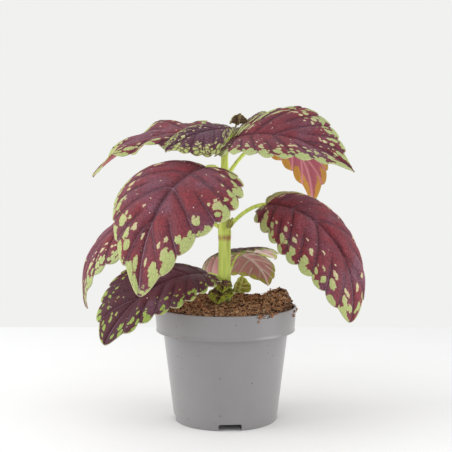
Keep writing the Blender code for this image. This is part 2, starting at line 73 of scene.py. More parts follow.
# %% [markdown]
# ## Floor and light
# The plant stands on white paper in a light tent. The sheet of paper ends some way behind
# the pot, and the pale world above its edge is the tent's wall. The world lights everything
# softly from all round, which keeps the leaves' colours true. One large area light from the
# upper left models their relief and throws the soft shadow to the right, and a weak one
# from the right lightens the pot's other flank. The Standard view keeps whites white, as
# the photograph does.

# %% Floor and light
def linear(code):
    """An sRGB hex colour as the linear values that Blender works in."""
    values = []
    for i in (1, 3, 5):
        c = int(code[i:i + 2], 16) / 255
        values.append(c / 12.92 if c <= 0.04045 else ((c + 0.055) / 1.055) ** 2.4)
    return (*values, 1.0)


# Which sockets a node is fed and read by, where they aren't its first ones
FED_BY = {"Mix": (0, 6, 7)}
READ_BY = {"Mix": 2, "TexCoord": "Object", "Attribute": "Fac", "SeparateXYZ": "Z"}


def kind_of(node):
    return node.bl_idname.removeprefix("ShaderNode")


def set_node(node, *inputs, **settings):
    """Give a shader node its inputs in order and its settings by name, with _ for a space.

    A value that is another node is linked, and a hex colour is made linear.
    """
    given = list(zip(FED_BY.get(kind_of(node), range(len(inputs))), inputs))
    for name, value in settings.items():
        socket = name.replace("_", " ")
        if socket in node.inputs:
            given.append((socket, value))
        else:
            setattr(node, name, value)
    for socket, value in given:
        if isinstance(value, bpy.types.Node):
            value = value.outputs[READ_BY.get(kind_of(value), 0)]
        if isinstance(value, bpy.types.NodeSocket):
            node.id_data.links.new(value, node.inputs[socket])
        else:
            node.inputs[socket].default_value = linear(value) if isinstance(value, str) else value
    return node


def new_material(name):
    """An empty material, its Principled shader, and the function that adds a node to it."""
    material = bpy.data.materials.new(name)
    material.use_nodes = True
    nodes = material.node_tree.nodes

    def add(kind, *inputs, **settings):
        node = nodes.new("ShaderNode" + kind)
        if kind == "Mix":
            node.data_type = "RGBA"
        return set_node(node, *inputs, **settings)

    return material, nodes["Principled BSDF"], add


FLOOR_WIDTH = 6000.0
FLOOR_DEPTH = 4000.0
FLOOR_BACK = 450.0           # where the paper ends behind the pot

bpy.ops.mesh.primitive_plane_add(size=1)
floor = bpy.context.object
floor.name = "floor"
bpy.ops.object.mode_set(mode="EDIT")
bpy.ops.transform.resize(value=(FLOOR_WIDTH * MM, FLOOR_DEPTH * MM, 1))
bpy.ops.transform.translate(value=(0, (FLOOR_BACK - FLOOR_DEPTH / 2) * MM, 0))
bpy.ops.object.mode_set(mode="OBJECT")
paper, shader, add = new_material("matt white paper")
clouding = add("TexNoise", Scale=9.0, Detail=3.0, Vector=add("TexCoord"))
white = add("Mix", clouding, "#EBECED", "#EFF0F1")
set_node(shader, Base_Color=white, Roughness=0.9, Specular_IOR_Level=0.2)
floor.data.materials.append(paper)

world = bpy.data.worlds.new("light tent")
bpy.context.scene.world = world
world.use_nodes = True
set_node(world.node_tree.nodes["Background"], Color="#F1F1EF", Strength=1.0)
bpy.context.scene.view_settings.view_transform = "Standard"

LIGHTS = (
    ("window", (-850, -200, 520), (63, 0, -77), 700, 5.4),
    ("reflector", (700, -200, 260), (76, 0, 74), 500, 2.2),
)
for name, place, turn, size, power in LIGHTS:
    bpy.ops.object.light_add(
        type="AREA", location=[v * MM for v in place], rotation=[math.radians(v) for v in turn])
    light = bpy.context.object
    light.name = name
    light.data.size = size * MM
    light.data.energy = power

# %% [markdown]
# ## Finishing a piece
# Every piece rides on the plant's one body and takes the place of a solid where it stands for
# one. A finished piece sits at the origin with its place in its mesh, so that patterns that
# read object coordinates stay where they are.

# %% Finishing a piece
made = []


def finish_piece(piece, slot, *nodes, finish=None):
    """Seat a piece on the plant in place of its solids. A blade has its finishes already."""
    if finish:
        piece.data.materials.clear()
        piece.data.materials.append(finish)
    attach(piece, "root")
    if nodes:
        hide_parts(*nodes)
    made.append(piece)
    triangles = sum(len(face.vertices) - 2 for face in piece.data.polygons)
    print(f"{piece.name}: {triangles} triangles")


def formed_grid(name, columns, rows, shape):
    """A grid primitive whose points shape() lays in space, from their shares across and up."""
    bpy.ops.mesh.primitive_grid_add(x_subdivisions=columns, y_subdivisions=rows, size=1)
    obj = bpy.context.object
    obj.name = name
    mesh = obj.data
    flat = np.empty(len(mesh.vertices) * 3)
    mesh.vertices.foreach_get("co", flat)
    flat = flat.reshape(-1, 3)
    points = shape(flat[:, 0] + 0.5, flat[:, 1] + 0.5)
    mesh.vertices.foreach_set("co", (points * MM).ravel())
    mesh.update()
    return obj


WELD = (bpy.ops.mesh.remove_doubles, {"threshold": 0.00001})
FACE_OUT = (bpy.ops.mesh.normals_make_consistent, {"inside": False})


def edit_mesh(obj, *steps):
    """Run edit-mode operators on the whole of a mesh: pairs of an operator and its settings."""
    bpy.ops.object.select_all(action="DESELECT")
    bpy.context.view_layer.objects.active = obj
    obj.select_set(True)
    bpy.ops.object.mode_set(mode="EDIT")
    bpy.ops.mesh.select_all(action="SELECT")
    for operator, settings in steps:
        operator(**settings)
    bpy.ops.object.mode_set(mode="OBJECT")


def apply_modifier(obj, kind, **settings):
    """Add a modifier with its settings and apply it at once."""
    modifier = obj.modifiers.new(kind.title(), kind)
    for name, value in settings.items():
        setattr(modifier, name, value)
    bpy.context.view_layer.objects.active = obj
    bpy.ops.object.modifier_apply(modifier=modifier.name)


# %% [markdown]
# ## The form of a leaf
# A coleus leaf is an egg-shaped blade with rounded teeth. Its midrib arches over and down, its
# two halves curl away from the midrib, and on an older leaf the base reaches back in lobes.
# A leaf could be drawn as a flat outline and bent by hand, but the plant has many, each bent
# its own way. So one formula makes them all: a flat margin, laid along an arched midrib. The
# values below are the plant's own, one line of choices for each leaf.

# %% The leaves of this plant
@dataclass
class Leaf:
    """One leaf. Pairs of values are for its left and right half, seen from stalk to tip."""

    root: tuple              # where its stalk leaves the stem
    base: tuple              # where the blade starts
    tip: tuple
    bend: float              # turn of the midrib from base to tip, in degrees
    width: float
    bend_power: float = 1.0  # below 1 it turns early, above 1 late
    roll: float = 0.0        # lift of the left half at the base
    twist: float = 0.0       # more of it towards the tip
    curl: tuple = (30.0, 30.0)
    curl_tip: tuple = ()     # droop of the halves near the tip, where it differs
    full: tuple = (0.34, 0.34)   # how much of its width lies near the base
    wide: tuple = (1.0, 1.0)
    peak: tuple = (1.0, 1.0)     # above 1 it is widest in the middle only
    lobe: tuple = (0.09, 0.09)   # how far its base reaches back
    pinch: float = 0.42      # how far its tip is drawn in
    fold: float = 8.0        # of each half up from the midrib, in degrees
    teeth: int = 9           # on each half
    tooth: float = 5.0       # their height
    wave: float = 0.0        # height of the waves along its margin
    waves: float = 3.0
    wave_shift: float = 0.0
    stalk: float = 1.7       # radius of its stalk
    crinkle: float = 0.0     # small ripples all over, as on the youngest leaves
    lime: tuple = (0.0, 0.0)     # mm by which the lime near the base reaches further in
    upper: str = "velvet"
    under: str = "dusty"


NODE_1 = (-1.0, 0.0, 114.0)
NODE_2 = (-0.8, 0.0, 159.0)
NODE_3 = (-0.5, 0.0, 203.0)
NODE_4 = (-0.6, 0.5, 227.0)
NODE_5 = (7.0, 9.0, 243.5)
SMALL_STALK = 0.9

LEAVES = {
    "leaf_1_front": Leaf(
        NODE_1, (-14, -16, 125), (-94.6, -70, 76), bend=70, width=86, roll=-8, twist=-20,
        curl=(28, 15), fold=6, full=(0.18, 0.18), wide=(0.76, 1.0), upper="shaded"),
    "leaf_1_back": Leaf(
        NODE_1, (-2, 18, 138), (46, 68, 130), bend=42, width=72, roll=-5,
        curl=(62, 25), full=(0.5, 0.1), wide=(1.5, 0.6), upper="shaded", under="backlit"),
    "leaf_2_right": Leaf(
        NODE_2, (33, -14, 183), (99.5, -55, 90.7), bend=105, width=96, roll=28, twist=-15,
        curl=(45, 40), curl_tip=(110, 70), full=(0.12, -0.04), wide=(1.03, 0.92),
        peak=(1.3, 1.0), pinch=0.35, lime=(16.0, 0.0)),
    "leaf_2_left": Leaf(
        NODE_2, (-36, 15, 171), (-120.8, 15, 91.3), bend=118, width=99, roll=-16,
        curl=(50, 60), full=(0.3, 0.34), upper="flecked", under="glowing"),
    "leaf_3_front": Leaf(
        NODE_3, (-15, -32, 214), (-64.3, -100, 117.8), bend=85, width=115, roll=-10,
        curl=(40, 32), curl_tip=(20, 62), full=(0.2, 0.6), wide=(0.95, 1.05)),
    "leaf_3_back": Leaf(
        NODE_3, (27, 28, 235), (82, 92, 181.5), bend=115, width=82, curl=(50, 40),
        wide=(0.85, 1.0), under="orange_glow"),
    "leaf_4_right": Leaf(
        NODE_4, (3.5, -12, 236), (103.6, -42, 211), bend=68, bend_power=0.55, width=84,
        roll=29, twist=-4, curl=(4, 8), curl_tip=(4, 30), full=(0.0, 0.24), wide=(1.14, 0.9),
        peak=(2.5, 1.0), lobe=(0.0, 0.28), pinch=0.52, fold=10, lime=(-3.5, 2.5),
        upper="flecked"),
    "leaf_4_left": Leaf(
        NODE_4, (-13, 12, 240), (-114, 10, 206.3), bend=62, width=80, roll=-19, twist=16,
        curl=(30, 8), wave=3.6, waves=3.6, wave_shift=2.4, full=(0.14, 0.14), wide=(0.8, 1.0),
        crinkle=0.4, lime=(0.0, -3.5), under="orange_glow"),
    "leaf_5_front": Leaf(
        NODE_5, (6, -6, 245.5), (-49, -32, 227), bend=36, width=56, roll=-14, twist=-8,
        curl=(25, 20), curl_tip=(50, 30), teeth=8, tooth=3.0, full=(-0.35, 0.34),
        wide=(1.25, 0.75), peak=(2.0, 1.0), lobe=(0.0, 0.03), pinch=0.3, upper="netted"),
    "leaf_5_back": Leaf(
        NODE_5, (16, 25, 250), (36, 50, 259), bend=50, width=26, roll=-25, teeth=6, tooth=2.0,
        stalk=SMALL_STALK, upper="netted"),
    "tip_leaf_left": Leaf(
        NODE_5, (9.6, 7.5, 250.4), (11.8, 2.5, 259), bend=-60, width=18, curl=(100, 100),
        fold=40, teeth=5, tooth=1.0, stalk=SMALL_STALK, upper="bud", under="bud",
        crinkle=0.4),
    "tip_leaf_right": Leaf(
        NODE_5, (17.5, 11, 249), (26.5, 10, 253.5), bend=95, width=13, curl=(70, 70),
        fold=20, teeth=5, tooth=1.0, stalk=SMALL_STALK, upper="bud", under="bud",
        crinkle=0.3),
    "side_leaf_back": Leaf(
        NODE_1, (14, 12, 139), (38, 34, 109.5), bend=50, width=42, roll=-15, teeth=7,
        tooth=2.2, curl=(40, 40), wide=(1.3, 1.0), stalk=SMALL_STALK, upper="shaded",
        under="backlit"),
    "side_leaf_right": Leaf(
        NODE_1, (8.5, -4, 109), (13.5, -9, 123), bend=-50, width=23, curl=(60, 60), teeth=5,
        tooth=1.2, stalk=SMALL_STALK, crinkle=0.9, upper="olive", under="olive"),
    "side_leaf_front": Leaf(
        NODE_1, (-1.5, -9, 119), (-3, -21, 110), bend=60, width=16, curl=(60, 60), teeth=5,
        tooth=1.2, stalk=SMALL_STALK, crinkle=0.7, upper="olive", under="olive"),
    "side_leaf_low": Leaf(
        NODE_1, (-3, -9, 112.5), (-7, -20, 100.5), bend=40, width=23, curl=(40, 40), teeth=5,
        tooth=1.4, stalk=SMALL_STALK, crinkle=1.0, upper="olive", under="olive"),
    "axil_leaf": Leaf(
        NODE_2, (2.6, -6.4, 163), (6, -9.5, 172), bend=40, width=6, curl=(60, 60), teeth=4,
        tooth=0.5, stalk=SMALL_STALK, upper="bud", under="olive"),
}

# %% [markdown]
# The margin is worked out flat. A point travels round it like the angle of a circle, which
# gives an egg, and three more rules shape it: the base lobes reach back, the tip is drawn in,
# and rounded teeth stand on it at even steps. Each tooth is a sine arch raised to a small
# power, which makes round scallops with narrow clefts between them.

# %% The flat margin
PINCH_START = 0.42           # where along the midrib a blade begins to draw in to its tip
LOBE_REACH = 0.9             # how far round the margin the base lobes are felt, in radians
VEIN_LEAN = 2.1              # above 1 the veins start nearer the stalk than they end
CRENATE_END = 0.87           # where along the margin the last tooth ends
TOOTH_SPREAD = 0.92          # below 1 the teeth lengthen towards the tip
TOOTH_LEAN = 1.15            # above 1 their crests lean towards the tip
TOOTH_ROUNDNESS = 0.55
TOOTH_MIDDLE = 0.55          # share of a tooth's height that lies inside the smooth margin
CLEFT_LIMIT = 0.14           # no cleft is deeper than this share of the half's width there
CLEFT_START = 0.3            # and before this share of the margin the limit grows from 0
LOBE_START = 0.02            # how far round the margin the lobes begin to reach back


def smooth_margin(leaf, side, length, count=400):
    """One half's flat margin without its teeth: across, along, and the share of the way."""
    phi = np.linspace(0, math.pi, count)
    full = leaf.full[side]
    across = np.maximum(np.sin(phi), 0) ** leaf.peak[side] * (1 + full * np.cos(phi))
    across = across / (1 + full * full * 0.5)
    along = (1 - np.cos(phi)) / 2
    lobe = 1.6 * leaf.lobe[side] * phi ** 2 / (phi ** 2 + LOBE_START ** 2)
    along = along - lobe * np.sin(phi) * np.exp(-(phi / LOBE_REACH) ** 2)
    past = np.clip((along - PINCH_START) / (1 - PINCH_START), 0, 1)
    across = across * (1 - leaf.pinch * past)
    across = across * leaf.width / 2 * leaf.wide[side] + leaf.stalk * (1 - phi / math.pi)
    along = along * length
    way = np.concatenate([[0], np.cumsum(np.hypot(np.diff(across), np.diff(along)))])
    return across, along, way / way[-1]


def tooth_phase(leaf, u):
    """How many teeth lie between the stalk and the share u of the margin."""
    return leaf.teeth * (u / CRENATE_END) ** TOOTH_SPREAD


def toothed_margin(leaf, side, length, u):
    """The flat margin at the shares u of its way, with rounded teeth that lean to the tip."""
    x, y, way = smooth_margin(leaf, side, length)
    step = 0.004
    before, after = np.clip(u - step, 0, 1), np.clip(u + step, 0, 1)
    tangent_x = np.interp(after, way, x) - np.interp(before, way, x)
    tangent_y = np.interp(after, way, y) - np.interp(before, way, y)
    size = np.hypot(tangent_x, tangent_y)
    tooth = np.sin(math.pi * (tooth_phase(leaf, u) % 1.0) ** TOOTH_LEAN) ** TOOTH_ROUNDNESS
    taper = TOOTH_MIDDLE * (1 - (u - CRENATE_END) / (1 - CRENATE_END))
    height = np.where(u < CRENATE_END, tooth - TOOTH_MIDDLE, -taper)
    height = height * np.clip((u - 0.02) / 0.04, 0, 1) * (1 - 0.35 * u) * leaf.tooth
    half_width = np.interp(u, way, x)
    height = np.maximum(height, -CLEFT_LIMIT * half_width * np.minimum(u / CLEFT_START, 1))
    margin_x = half_width + tangent_y / size * height
    margin_y = np.interp(u, way, y) - tangent_x / size * height
    return margin_x, margin_y


# %% [markdown]
# The midrib is a curve in an upright plane that turns down steadily. Its length and first slope
# follow from where the blade starts and ends. At each station along it there is a direction
# to the left and one up, and the flat points are laid out along those, bent down by the curl.

# %% The midrib and the bent blade
MIDRIB_STEPS = 80
WAVE_SHIFT_RIGHT = 1.3       # of the right half's waves against the left half's, in radians


def midrib_frame(leaf):
    """Points, forward, left and up vectors along the midrib, and its length."""
    base = np.array(leaf.base, float)
    chord = np.array(leaf.tip, float) - base
    bend = math.radians(leaf.bend)
    turn = -bend * ((np.arange(200) + 0.5) / 200) ** leaf.bend_power
    forward, down = np.cos(turn).mean(), np.sin(turn).mean()
    length = np.linalg.norm(chord) / math.hypot(forward, down)
    pitch = math.asin(chord[2] / np.linalg.norm(chord)) - math.atan2(down, forward)
    heading = math.atan2(chord[1], chord[0])
    points, forwards, lefts, ups = [base], [], [], []
    left = np.array([-math.sin(heading), math.cos(heading), 0.0])
    for share in np.linspace(0, 1, MIDRIB_STEPS + 1):
        p = pitch - bend * share ** leaf.bend_power
        ahead = np.array([
            math.cos(p) * math.cos(heading), math.cos(p) * math.sin(heading), math.sin(p)])
        forwards.append(ahead)
        if share > 0:
            step = (forwards[-2] + forwards[-1]) / 2 * length / MIDRIB_STEPS
            points.append(points[-1] + step)
        up = np.cross(ahead, left)
        r = math.radians(leaf.roll + leaf.twist * share)
        lefts.append(left * math.cos(r) + up * math.sin(r))
        ups.append(up * math.cos(r) - left * math.sin(r))
    return np.array(points), np.array(forwards), np.array(lefts), np.array(ups), length


def bend_blade(leaf, rib, side, across, along, u, w, relief):
    """Flat points of one half, folded, curled and laid along the midrib, and their ups."""
    points, forwards, lefts, ups, length = rib
    sign = 1 if side == 0 else -1
    station = np.clip(along / length, 0, 1) * (len(points) - 1)
    low = np.minimum(station.astype(int), len(points) - 2)
    part = (station - low)[..., None]
    middle, left, up = (a[low] * (1 - part) + a[low + 1] * part for a in (points, lefts, ups))
    middle = middle + np.minimum(along, 0)[..., None] * forwards[0]
    fold = math.radians(leaf.fold)
    curl_tip = leaf.curl_tip or leaf.curl
    curl = leaf.curl[side] + (curl_tip[side] - leaf.curl[side]) * np.clip(along / length, 0, 1)
    bow = np.radians(curl) / (leaf.width / 2)
    slope = fold - bow * across
    sideways = (math.sin(fold) - np.sin(slope)) / bow
    lift = (np.cos(slope) - math.cos(fold)) / bow
    shift = leaf.wave_shift + WAVE_SHIFT_RIGHT * side
    ripple = np.sin(2 * math.pi * leaf.waves * u + shift) * w ** 2.5
    lift = lift + leaf.wave * ripple * np.sqrt(np.sin(math.pi * np.clip(u, 0, 1)))
    normal = up * np.cos(slope)[..., None] - left * (sign * np.sin(slope))[..., None]
    place = middle + left * (sign * sideways)[..., None] + up * lift[..., None]
    return place + normal * relief[..., None], normal


# %% [markdown]
# ## Veins and quilting
# The side veins run out to the clefts between the teeth. On the upper face they lie in
# grooves and the blade swells between them, like a quilt. Below, the same veins stand out as
# ribs. A bump texture could fake this, but the grooves also shape the leaf's edge and its
# shadows, so the main veins are modelled. The material adds the finest net, and paints shade
# along the grooves and a highlight along the side veins.
# While the shape is made, three values are noted on each point for the material to read: how
# far the point lies inside its tooth's lime patch, how far in from the margin it is, and how
# close to a vein. They are scaled to a leaf 110 mm wide, so that small leaves get the same
# pattern in small.

# %% One blade
ROWS_PER_TOOTH = 14
TIP_ROWS = 14
HALF_COLUMNS = 34
CREST_SPREAD = 0.11          # crowds the rows towards the clefts, where the margin turns fast
PATTERN_WIDTH = 110.0
QUILT_HEIGHT = 0.14          # swell between two side veins, as a share of their distance
CROSS_VEIN_STEP = 3.4        # mm between the small veins that join the side veins
CROSS_VEIN_HEIGHT = 0.16
MIDRIB_GROOVE = 0.8
GROOVE_REACH = 2.0           # half width of that groove
SCALLOP_DROOP = 1.2          # how far each scallop's edge hangs
BLADE_THICKNESS = 0.5
RIB_HEIGHT = 0.9             # the midrib below the blade, at the stalk
RIB_REACH = 1.1
SIDE_RIB_HEIGHT = 0.35
TOOTH_PATCH = 4.7            # how far in from a tooth's edge its lime patch reaches
PATCH_GAP = 9.0              # how strongly the midrib parts the patches at the tip
MIDRIB_REACH = 2.6           # half width of the darker skin beside the midrib
VEIN_REACH = 2.0             # and beside a side vein
BRANCH_START = 0.35          # every second side vein is a branch that starts this far out


def vein_foot(leaf, side, length, u):
    """How far along the midrib the vein starts that ends at share u of the margin."""
    way = smooth_margin(leaf, side, length)[2]
    return length * np.interp(u, way, np.linspace(0, 1, len(way))) ** VEIN_LEAN


def half_blade(leaf, rib, side, u, w):
    """Points, ups and notes of one half at the margin shares u and the shares w out to it."""
    length = rib[4]
    size = leaf.width / PATTERN_WIDTH
    x, y, way = smooth_margin(leaf, side, length)
    smooth_x, smooth_y = np.interp(u, way, x), np.interp(u, way, y)
    tooth_x, tooth_y = toothed_margin(leaf, side, length, u)
    # Near the midrib both halves take the left one's vein feet, so that they meet there
    foot = vein_foot(leaf, side, length, u)
    foot = foot + (vein_foot(leaf, 0, length, u) - foot) * (1 - w) ** 6
    across = smooth_x * w + (tooth_x - smooth_x) * w ** 5
    along = foot + (smooth_y - foot) * (0.8 * w + 0.2 * w * w) + (tooth_y - smooth_y) * w ** 5

    phase = tooth_phase(leaf, u)
    crest = np.where(u < CRENATE_END, np.sin(math.pi * phase) ** 2, 0.6)
    vein_length = np.hypot(tooth_x, tooth_y - foot) + 0.01
    before, after = np.clip(u - 0.01, 0, 1), np.clip(u + 0.01, 0, 1)
    teeth = tooth_phase(leaf, after) - tooth_phase(leaf, before)
    foot_step = vein_foot(leaf, side, length, after) - vein_foot(leaf, side, length, before)
    foot_gap = foot_step / teeth * tooth_x / vein_length
    ahead_x = np.interp(after, way, x) - np.interp(before, way, x)
    ahead_y = np.interp(after, way, y) - np.interp(before, way, y)
    margin_gap = np.abs(ahead_x * (tooth_y - foot) - ahead_y * tooth_x) / vein_length / teeth
    spacing = foot_gap * (1 - w) + margin_gap * w
    slant = np.clip(margin_gap * teeth / np.hypot(ahead_x, ahead_y), 0.3, 1)
    inside = vein_length * (1 - w) * slant

    nearest = np.clip(np.round(phase), 1, leaf.teeth)
    branch = np.where(nearest % 2 == 0, np.clip((w - BRANCH_START) / 0.2, 0, 1), 1.0)
    arch = np.abs(np.sin(math.pi * phase)) ** 0.8
    arch = arch * branch + (1 - branch) * np.maximum(arch, 0.8)
    swell = arch * spacing * QUILT_HEIGHT
    swell = np.where(phase < leaf.teeth, swell, 0) * (1 - w ** 6) * np.minimum(8 * w, 1)
    ladder = np.abs(np.sin(math.pi * (vein_length * w / CROSS_VEIN_STEP + 0.35 * phase)))
    relief = swell + CROSS_VEIN_HEIGHT * ladder * np.clip(spacing / 6, 0, 1)
    relief = relief - MIDRIB_GROOVE * np.exp(-(across / (GROOVE_REACH * size)) ** 2)
    relief = relief - SCALLOP_DROOP * leaf.tooth / Leaf.tooth * w ** 8 * crest
    relief = relief + leaf.crinkle * np.sin(9 * u + 7 * w + 2 * side) * np.sin(17 * u - 4 * w)
    place, up = bend_blade(leaf, rib, side, across, along, u, w, relief)

    near_midrib = np.exp(-(across / (MIDRIB_REACH * size)) ** 2)
    away = np.abs(phase - nearest) * spacing
    veins = np.maximum(np.exp(-(away / (VEIN_REACH * size)) ** 2) * branch, near_midrib)
    ribs = RIB_HEIGHT * np.exp(-(across / RIB_REACH) ** 2) * leaf.stalk / Leaf.stalk
    ribs = ribs * (1 - 0.85 * np.clip(along / length, 0, 1)) + SIDE_RIB_HEIGHT * veins ** 4
    patch = TOOTH_PATCH * (1.55 * crest - 0.55) - PATCH_GAP * near_midrib
    patch = patch + leaf.lime[side] * (1 - u) ** 1.5
    return place, up, {
        "edge": patch - inside / size,
        "depth": inside / size,
        "rib": veins,
        "height": ribs,
        "phase": phase}


def blade_rows(leaf):
    """Shares of the margin, crowded towards each cleft, and a few more up to the tip."""
    t = np.arange(leaf.teeth * ROWS_PER_TOOTH + 1) / ROWS_PER_TOOTH
    t = t - CREST_SPREAD * np.sin(2 * math.pi * t)
    rows = (np.maximum(t, 0) / leaf.teeth) ** (1 / TOOTH_SPREAD) * CRENATE_END
    last = np.linspace(CRENATE_END, 1, TIP_ROWS + 1)[1:]
    return np.concatenate([rows, last])


def make_blade(name, leaf, number, finishes):
    """A closed blade that wears the first finish above and the second below."""
    rib = midrib_frame(leaf)
    rows = blade_rows(leaf)
    columns = HALF_COLUMNS if leaf.width > 30 else HALF_COLUMNS // 2
    notes = {}

    def lay(share_across, share_up):
        u = rows[np.round(share_up * (len(rows) - 1)).astype(int)]
        w = np.abs(2 * share_across - 1)
        halves = [half_blade(leaf, rib, side, u, w) for side in (0, 1)]
        is_right = share_across > 0.5
        for key in halves[0][2]:
            notes[key] = np.where(is_right, halves[1][2][key], halves[0][2][key])
        notes["up"] = np.where(is_right[:, None], halves[1][1], halves[0][1])
        notes["across"] = share_across
        # The shift by leaf and by side gives each half flecks of its own
        notes["map"] = np.array([
            np.stack([half[2]["depth"] / MAP_UNIT, half[2]["phase"] + 40 * number + 17 * side], 1)
            for side, half in enumerate(halves)])
        return np.where(is_right[:, None], halves[1][0], halves[0][0])

    blade = formed_grid(name, 2 * columns, len(rows) - 1, lay)
    mesh = blade.data
    for key in ("edge", "depth", "rib"):
        attribute = mesh.attributes.new(key, "FLOAT", "POINT")
        attribute.data.foreach_set("value", notes[key])
    corners = np.empty(len(mesh.loops), int)
    mesh.loops.foreach_get("vertex_index", corners)
    on_right = notes["across"][corners].reshape(-1, 4).mean(axis=1) > 0.5
    margin_map = notes["map"][np.repeat(on_right, 4).astype(int), corners]
    mesh.uv_layers.active.data.foreach_set("uv", margin_map.ravel())
    mesh.shade_smooth()
    for finish in finishes:
        mesh.materials.append(finish)
    count = len(mesh.vertices)
    apply_modifier(
        blade, "SOLIDIFY", thickness=BLADE_THICKNESS * MM, offset=0, material_offset=1,
        material_offset_rim=0)
    under = np.empty(len(mesh.vertices) * 3)
    mesh.vertices.foreach_get("co", under)
    under = under.reshape(-1, 3)
    under[count:2 * count] -= notes["up"] * notes["height"][:, None] * MM
    mesh.vertices.foreach_set("co", under.ravel())
    edit_mesh(blade, WELD)
    return blade


# %% [markdown]
# ## Leaf finishes
# The upper face is covered in fine down, so it looks like velvet: matt, with a faint pale
# sheen where it turns away. Its red comes from a dye in the skin, which is missing in patches
# towards the margin, where the green below shows. There are two kinds of patch: one fills
# each tooth, parted from the next by the vein that ends in the cleft, and behind them lie
# ragged flecks that grow smaller and creamier inwards. The flecks are cells of a Voronoi
# pattern on a UV map whose one axis measures the way in from the margin and whose other
# counts teeth, so they follow the margin and crowd where it narrows, as real ones do.

# %% The upper face
MAP_UNIT = 50.0              # mm in from the margin that one unit of the UV map stands for
FLECK_LENGTH = 7.5           # mm inwards, on a leaf 110 mm wide
FLECKS_PER_TOOTH = 1.7
NET_STEP = 2.6               # mm between the finest veins, coarser than life so that it shows
NET_WIDTH = 0.14             # of a net vein, as a share of its cell


def velvet_face(name, red, purple, lime, cream, teeth=0.0, flecks=0.0, crowd=1.0, net=0.25,
                net_step=NET_STEP, net_width=NET_WIDTH):
    """The downy upper face of a leaf: red, with lime teeth and pale flecks inside them."""
    material, shader, add = new_material(name)
    place = add("TexCoord")
    edge, depth, rib = (add("Attribute", attribute_name=key) for key in ("edge", "depth", "rib"))

    # A tooth's patch, with a ragged edge
    ragged = add("TexNoise", Scale=380.0, Detail=3.0, Roughness=0.6, Vector=place)
    tooth_field = add("Math", ragged, 7.0, edge, operation="MULTIPLY_ADD")
    tooth_shown = add("MapRange", tooth_field, 3.2 - teeth, 3.8 - teeth)

    # Flecks: a cell shows by chance, less far in from the margin and not on a vein
    fleck_scale = (crowd * MAP_UNIT / FLECK_LENGTH, crowd * FLECKS_PER_TOOTH, 1)
    fleck_map = add("Mapping", place.outputs["UV"], Scale=fleck_scale)
    warped = add(
        "VectorMath", ragged.outputs["Color"], (0.65, 0.65, 0), fleck_map,
        operation="MULTIPLY_ADD")
    cells = add("TexVoronoi", warped, voronoi_dimensions="2D", Scale=1.0)
    chance = add("SeparateColor", cells.outputs["Color"])
    reach = add("MapRange", depth, 3.0, 30.0, 0.52 + flecks, -0.08 + flecks)
    by_chance = add("Math", chance, 0.45, reach, operation="MULTIPLY_ADD")
    off_vein = add("Math", rib, -0.4, by_chance, operation="MULTIPLY_ADD")
    fleck_field = add("Math", off_vein, cells, operation="SUBTRACT")
    fleck_shown = add("MapRange", fleck_field, 0.2, 0.25)
    shown = add("Math", tooth_shown, fleck_shown, operation="MAXIMUM")
    pale = add("Mix", add("MapRange", depth, 8.0, 24.0), lime, cream)

    # The red skin: clouded, with a lilac haze of painted sheen, dark mottling and painted shade
    # in the grooves
    clouds = add("TexNoise", Scale=55.0, Detail=4.0, Vector=place)
    skin = add("Mix", add("MapRange", clouds, 0.35, 0.65), red, purple)
    # Painted sheen: a lilac haze laid in random clouds over the red
    sheen_haze = add("TexNoise", Scale=28.0, Detail=3.0, Vector=place)
    skin = add("Mix", add("MapRange", sheen_haze, 0.48, 0.68, 0.0, 0.4), skin, "#8C6A80")
    mottle = add("TexNoise", Scale=520.0, Detail=3.0, Roughness=0.75, Vector=place)
    mottled = add("MapRange", mottle, 0.42, 0.6, 0.0, 0.5)
    # Dark mottling of the skin, plus painted shade along the grooves of the veins
    mottle_and_groove_shade = add("Math", rib, 0.5, mottled, operation="MULTIPLY_ADD")
    skin = add("Mix", mottle_and_groove_shade, skin, "#3E1B25")
    colour = add("Mix", shown, skin, pale)

    # Over both: the net of veins, the broken lilac line of painted highlight along each side
    # vein, and the pale rim
    net_map = add(
        "Mapping", place.outputs["UV"], Scale=(MAP_UNIT / net_step, 13.0 / net_step, 1))
    net_cells = add(
        "TexVoronoi", net_map, voronoi_dimensions="2D", feature="DISTANCE_TO_EDGE", Scale=1.0)
    net_shown = add("MapRange", net_cells, 0.0, net_width, net, 0.0)
    colour = add("Mix", net_shown, colour, "#4A2630")
    # Painted highlight: a broken lilac line along each side vein
    vein_highlight = add("Math", rib, 22.0, operation="POWER")
    highlight_strength = add("MapRange", clouds, 0.35, 0.65, 0.1, 0.6)
    colour = add("Mix", add("Math", vein_highlight, highlight_strength, operation="MULTIPLY"), colour, "#A07A8E")
    colour = add("Mix", add("MapRange", depth, 0.3, 0.9, 0.6, 0.0), colour, "#C9C49A")

    # Stray white dots of down and dust
    dots = add("TexVoronoi", Scale=210.0, Vector=place)
    dot_chance = add("SeparateColor", dots.outputs["Color"])
    dot_size = add("MapRange", dot_chance, 0.7, 1.0, 0.0, 0.13)
    colour = add("Mix", add("Math", dots, dot_size, operation="LESS_THAN"), colour, "#D9BFBD")

    height = add("Math", ragged, 0.8, net_cells, operation="MULTIPLY_ADD")
    bump = add("Bump", Strength=0.7, Distance=0.0006, Height=height)
    set_node(
        shader, Base_Color=colour, Normal=bump, Roughness=0.55, Specular_IOR_Level=0.2,
        Sheen_Weight=0.04, Sheen_Roughness=0.4, Sheen_Tint="#D9C8DC")
    return material


# %% [markdown]
# The under face has little dye: it is a dusty pink, and its ribs are paler still. Where a
# leaf hangs with the light behind it, its thin blade glows orange between the veins. Real
# light through the blade would do this, but a painted glow is quicker to render and survives
# every way of showing the model, so the glow is in the colour.

